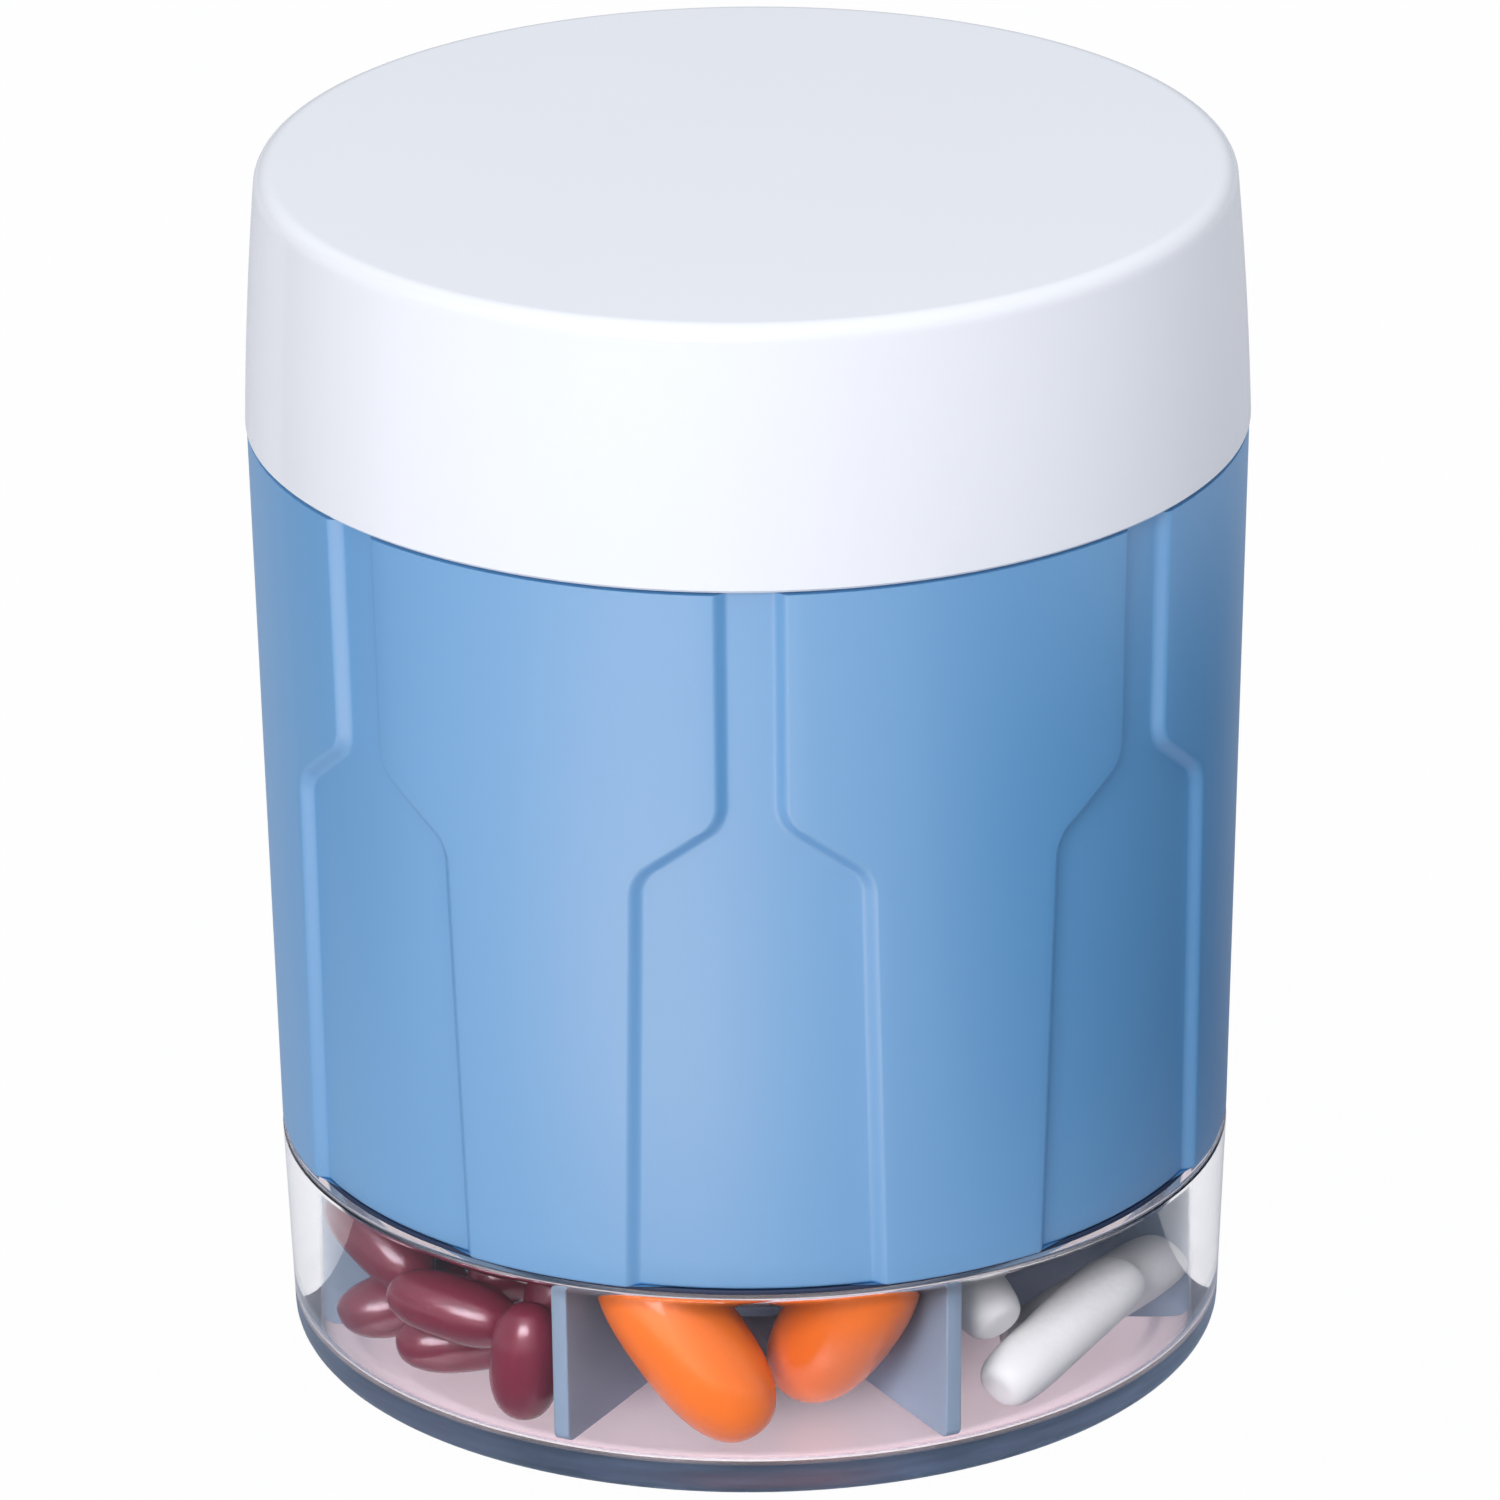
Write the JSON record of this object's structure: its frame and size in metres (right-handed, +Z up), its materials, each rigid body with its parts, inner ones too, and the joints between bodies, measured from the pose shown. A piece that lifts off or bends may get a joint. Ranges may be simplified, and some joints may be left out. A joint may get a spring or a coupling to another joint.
{
  "type": "pill organizer",
  "caption": "Round pill organizer with a pull-off lid, a turning pour disc, a casing with sunk bottle-shaped fields, vanes that part its compartments, and a clear base that shows pills.",
  "frame": {"origin": "centre of the resting face of the base, on the axis of the organizer", "axes": "+Z up along the axis of the organizer, -Y towards the front, where the pour opening and the middle compartment of the picture are, +X to the right"},
  "size_m": [0.1, 0.1, 0.1238],
  "materials": {
    "lid_plastic": "glossy white",
    "liner_plastic": "satin white",
    "casing_plastic": "satin light blue",
    "divider_plastic": "satin pale blue",
    "disc_plastic": "satin white",
    "clear_plastic": "clear, polished",
    "gasket_rubber": "matt dark blue",
    "seal_silicone": "matt translucent white",
    "steel": "turned, bright",
    "burgundy_gel": "glossy softgel",
    "orange_gel": "satin softgel",
    "white_coat": "matt film coat"
  },
  "bodies": {
    "organizer": {"base_cup": "clear_plastic", "base_seal": "gasket_rubber", "outer_shell": "casing_plastic", "divider_core": "divider_plastic", "pivot_bush": "steel", "pivot_screw": "steel", "small_softgel_1": "burgundy_gel", "small_softgel_2": "burgundy_gel", "small_softgel_3": "burgundy_gel", "small_softgel_4": "burgundy_gel", "small_softgel_5": "burgundy_gel", "small_softgel_6": "burgundy_gel", "small_softgel_7": "burgundy_gel", "large_softgel_1": "orange_gel", "large_softgel_2": "orange_gel", "caplet_1": "white_coat", "caplet_2": "white_coat", "caplet_3": "white_coat"},
    "selector": {"selector_disc": "disc_plastic", "pivot_cap": "disc_plastic"},
    "lid": {"lid_shell": "lid_plastic", "lid_liner": "liner_plastic", "lid_seal": "seal_silicone"}
  },
  "joints": [
    {"name": "lid_lift", "type": "slide", "parent": "organizer", "child": "lid", "axis": [0, 0, 1], "range_m": [0, 0.04]},
    {"name": "selector_turn", "type": "hinge", "parent": "organizer", "child": "selector", "pos_m": [0, 0, 0.1057], "axis": [0, 0, 1], "continuous": true}
  ]
}
